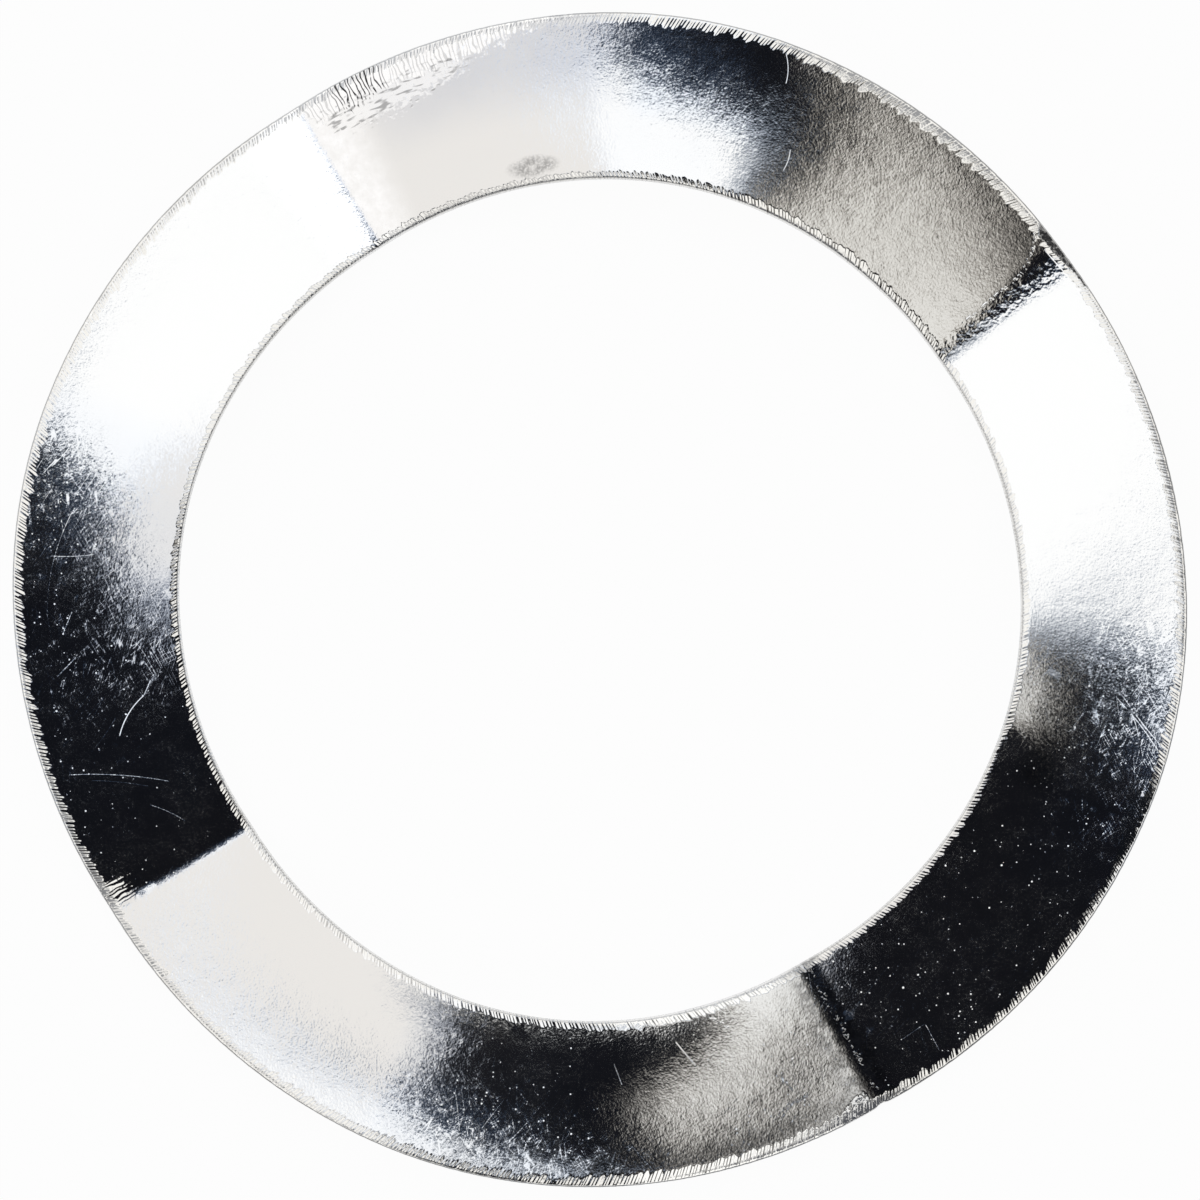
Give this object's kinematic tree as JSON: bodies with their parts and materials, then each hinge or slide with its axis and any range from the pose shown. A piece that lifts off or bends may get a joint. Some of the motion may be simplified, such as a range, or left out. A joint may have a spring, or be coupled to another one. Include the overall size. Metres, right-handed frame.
{
  "type": "wave spring washer",
  "caption": "Thin bright steel ring pressed into gentle waves, an axial preload spring for a bottom bracket spindle.",
  "frame": {"origin": "centre of the bore, on the plane that the troughs rest on", "axes": "+Z along the bore axis, from the troughs towards the crests; +X and +Y lie in the plane of rest"},
  "size_m": [0.042, 0.042, 0.0024],
  "materials": {
    "bright_steel": "bright rolled spring steel, almost a mirror, with fine scratches, small pits and radial drag lines along the blanked edges"
  },
  "bodies": {
    "root": {"wave_washer": "bright_steel"}
  },
  "joints": []
}
